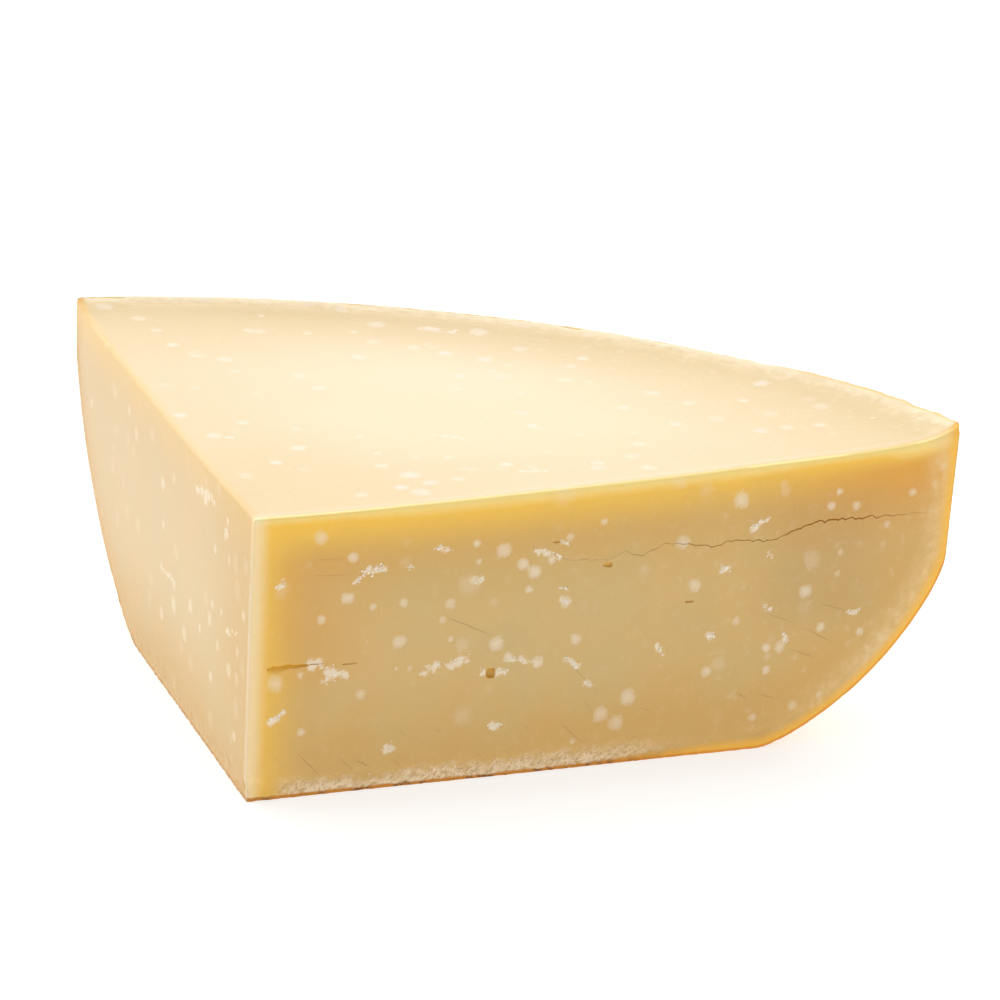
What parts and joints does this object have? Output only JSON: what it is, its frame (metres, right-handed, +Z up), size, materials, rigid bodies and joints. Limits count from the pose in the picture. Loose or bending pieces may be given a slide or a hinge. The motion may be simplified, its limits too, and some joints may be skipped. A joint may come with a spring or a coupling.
{
  "type": "gouda chunk",
  "caption": "Chunk of aged gouda cut from a wheel, with a flat rind base, a rounded rind back, upright knife-cut faces, a dished cut top, a crack and pale crystals.",
  "frame": {"origin": "middle of the chunk's box, on the surface it rests on", "axes": "+Z up; the front cut face looks along -Y, the left cut face along -X, and the rounded rind back lies towards +X and +Y"},
  "size_m": [0.17, 0.17, 0.0759],
  "materials": {
    "cheese": "satin, pale yellow paste with a thin amber rind"
  },
  "bodies": {
    "root": {"gouda_chunk": "cheese"}
  },
  "joints": []
}
